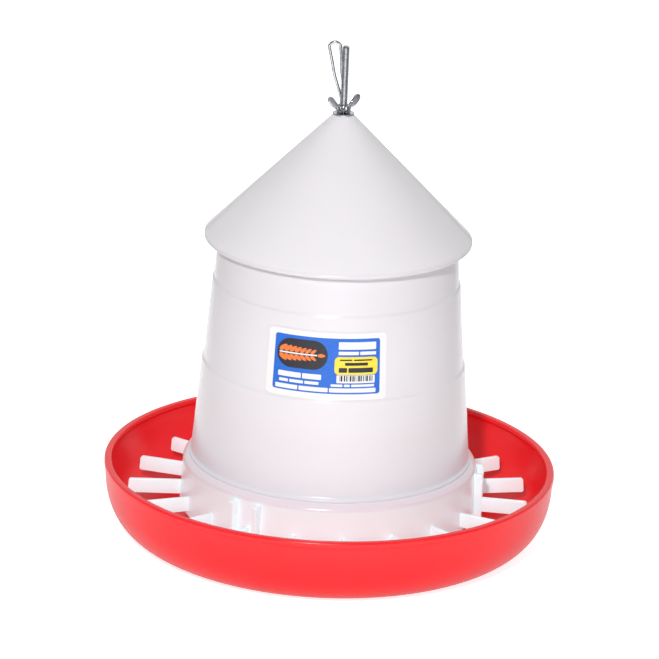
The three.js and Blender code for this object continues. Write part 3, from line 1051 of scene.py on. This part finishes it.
def build_floor():
    """White paper that glows evenly under the camera and is dark to either side in reflections."""
    bm = bmesh.new()
    bmesh.ops.create_grid(bm, x_segments=8, y_segments=8, size=FLOOR_HALF_SIZE)
    bmesh.ops.translate(bm, verts=bm.verts, vec=(0, 0, -FLOOR_GAP * MM))
    data = finish_mesh(bm, "floor")
    m, nodes, links, shader = material("floor_paper")
    paper = noise(nodes, links, 30, 3, 0.6)
    links.new(spread(nodes, links, paper, 0.85, 0.95), shader.inputs["Roughness"])
    shader.inputs["Specular IOR Level"].default_value = 0.1
    shader.inputs["Emission Color"].default_value = (1, 1, 1, 1)
    sideways = math_node(nodes, links, "ABSOLUTE", coordinates(nodes, links)["X"])
    to_camera = nodes.new("ShaderNodeLightPath").outputs["Is Camera Ray"]
    # painted shadow of the pan on the floor, seen in reflections
    outward = by_distance(nodes, links, *SHADE_REACH)
    beside = map_range(nodes, links, outward, (0, 1), (PAN_SHADE, 1.0))
    bright = map_range(nodes, links, sideways, FLOOR_FADE, (1.0, FLOOR_SIDE_SHADE))
    bright = math_node(nodes, links, "MULTIPLY", bright, beside)
    bright = math_node(nodes, links, "MAXIMUM", bright, to_camera)
    white = ramp(nodes, links, paper, gray(0.90), gray(0.93))
    links.new(vector_node(nodes, links, "SCALE", white, bright), shader.inputs["Base Color"])
    lit = map_range(nodes, links, sideways, FLOOR_FADE, (FLOOR_GLOW, FLOOR_SIDE_GLOW))
    lit = math_node(nodes, links, "MULTIPLY", lit, beside)
    seen = math_node(nodes, links, "MULTIPLY", to_camera, FLOOR_GLOW)
    links.new(math_node(nodes, links, "MAXIMUM", lit, seen), shader.inputs["Emission Strength"])
    return new_object("floor", data, m)


build_floor()


def area_light(name, place, target, size, power, color=(1, 1, 1)):
    data = bpy.data.lights.new(name, "AREA")
    data.shape = "RECTANGLE"
    data.size, data.size_y = size
    data.energy = power
    data.color = color
    lamp = bpy.data.objects.new(name, data)
    lamp.location = place
    lamp.rotation_euler = (Vector(target) - Vector(place)).to_track_quat("-Z", "Y").to_euler()
    bpy.context.scene.collection.objects.link(lamp)


area_light("key", (-0.29, -2.32, 1.45), (0, 0, 0.12), (0.14, 0.14), 43.5)
area_light("fill_right", (1.7, -1.9, 0.95), (0, 0, 0.1), (0.8, 0.8), 5)
area_light("fill_left", (-1.9, -1.5, 0.95), (0, 0, 0.1), (0.8, 0.8), 2.2)


def build_world():
    """White surroundings, seen as plain white behind the object: dim in front and dark to both sides."""
    world = bpy.data.worlds.new("studio")
    bpy.context.scene.world = world
    world.use_nodes = True
    nodes, links = world.node_tree.nodes, world.node_tree.links
    nodes.clear()
    place = nodes.new("ShaderNodeTexCoord")
    split = nodes.new("ShaderNodeSeparateXYZ")
    links.new(place.outputs["Generated"], split.inputs["Vector"])
    front = map_range(nodes, links, split.outputs["Y"], (-0.3, 0.6), (0.22, 0.80))
    sideways = math_node(nodes, links, "ABSOLUTE", split.outputs["X"])
    sides = map_range(nodes, links, sideways, (0.45, 0.85), (1.0, 0.62))
    strength = math_node(nodes, links, "MULTIPLY", front, sides)
    lit = nodes.new("ShaderNodeBackground")
    links.new(strength, lit.inputs["Strength"])
    seen = nodes.new("ShaderNodeBackground")
    seen.inputs["Strength"].default_value = 1.0
    for node in (lit, seen):
        node.inputs["Color"].default_value = (1, 1, 1, 1)
    path = nodes.new("ShaderNodeLightPath")
    mix = nodes.new("ShaderNodeMixShader")
    out = nodes.new("ShaderNodeOutputWorld")
    links.new(path.outputs["Is Camera Ray"], mix.inputs["Fac"])
    links.new(lit.outputs["Background"], mix.inputs[1])
    links.new(seen.outputs["Background"], mix.inputs[2])
    links.new(mix.outputs["Shader"], out.inputs["Surface"])


build_world()

CAMERA_DISTANCE = 3.0
CAMERA_ELEVATION = 20.43
CAMERA_ROLL = 2.3
FOCAL_MM = 241.6
SENSOR_MM = 36.0
AIM_UP = 1.632
AIM_LEFT = 0.071


def build_camera():
    data = bpy.data.cameras.new("camera")
    data.lens = FOCAL_MM
    data.sensor_width = SENSOR_MM
    data.clip_end = 50
    camera = bpy.data.objects.new("camera", data)
    e = math.radians(CAMERA_ELEVATION)
    pivot = Vector((0, 0, 0.054))
    camera.location = pivot + Vector((0, -math.cos(e), math.sin(e))) * CAMERA_DISTANCE
    pitch = math.radians(90 - CAMERA_ELEVATION + AIM_UP)
    turn = Matrix.Rotation(math.radians(AIM_LEFT), 4, "Z") @ Matrix.Rotation(pitch, 4, "X")
    turn = turn @ Matrix.Rotation(math.radians(CAMERA_ROLL), 4, "Z")
    camera.rotation_euler = turn.to_euler()
    bpy.context.scene.collection.objects.link(camera)
    bpy.context.scene.camera = camera


build_camera()
bpy.context.scene.view_settings.view_transform = "Standard"
